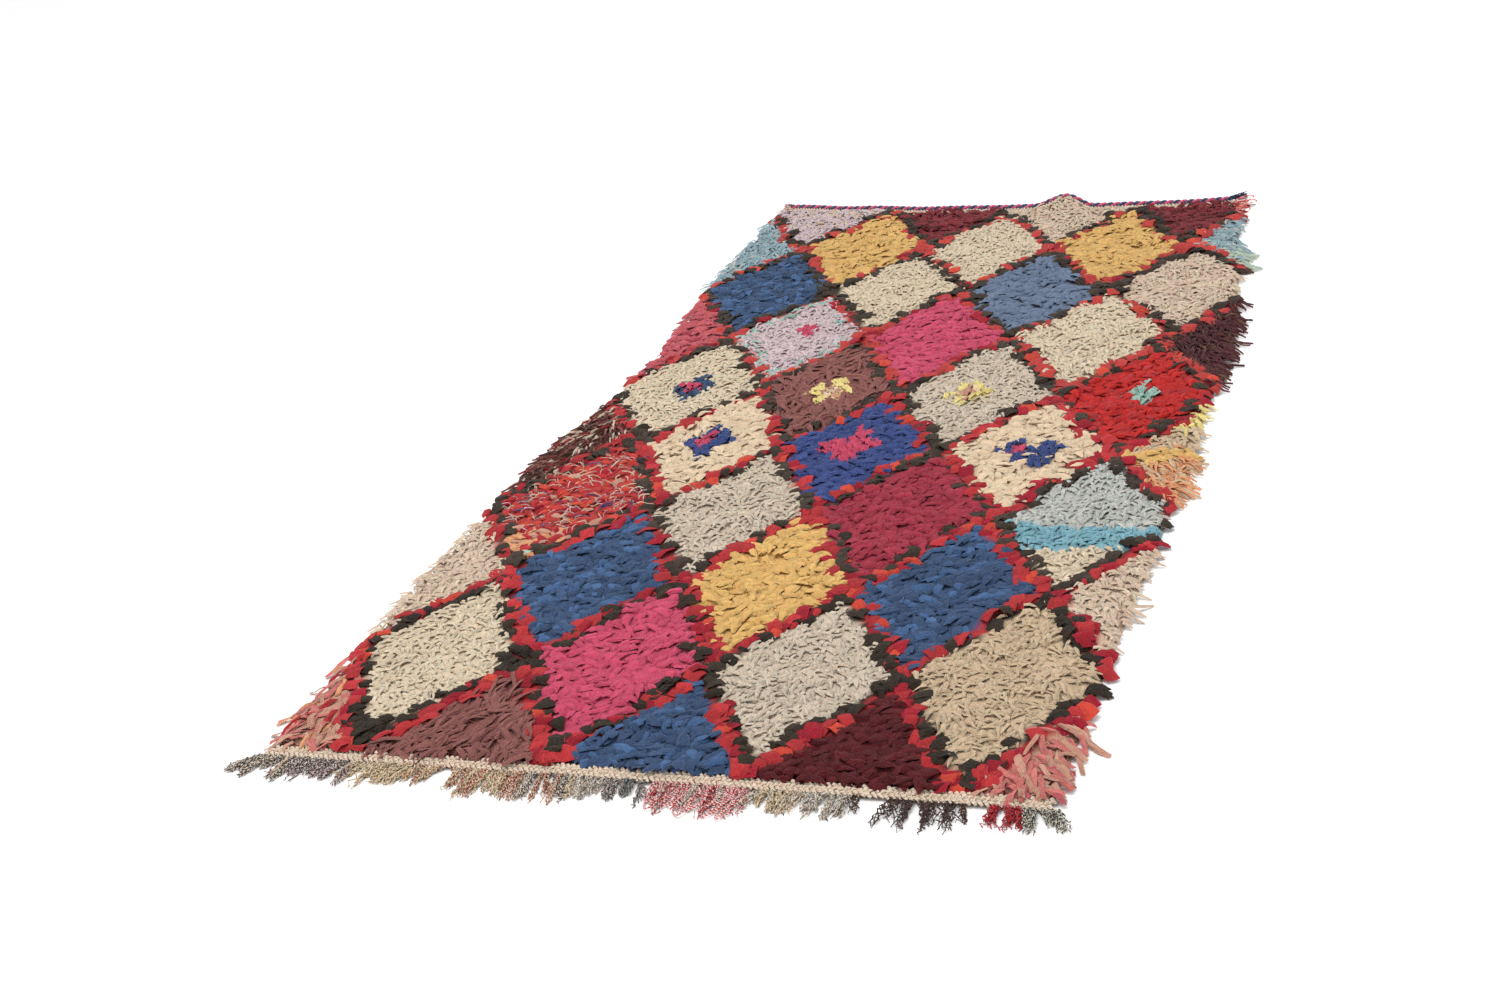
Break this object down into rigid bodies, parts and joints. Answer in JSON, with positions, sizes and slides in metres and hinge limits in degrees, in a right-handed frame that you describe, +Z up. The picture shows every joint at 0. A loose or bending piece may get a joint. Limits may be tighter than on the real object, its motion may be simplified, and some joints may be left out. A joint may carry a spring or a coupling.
{
  "type": "boucherouite rug",
  "caption": "Shaggy rug knotted from rag strips, with a raised woven band and fringe at one end and a twisted cord along the other.",
  "frame": {"origin": "on the floor under the middle of the rug, on its underside", "axes": "+Z up out of the shag, +Y along the rug towards the corded end, +X across the rug, to the right as seen from the fringed end"},
  "size_m": [1.2814, 2.7046, 0.0366],
  "materials": {
    "rag_shag": "matte cotton rags knotted into a plain cotton and wool weave",
    "fringe_yarn": "matte cotton and wool yarn, partly marled",
    "cord_yarn": "matte wool yarn, two plies of different colours"
  },
  "bodies": {
    "root": {"shag_rug": "rag_shag", "near_fringe": "fringe_yarn", "far_cord": "cord_yarn"}
  },
  "joints": []
}
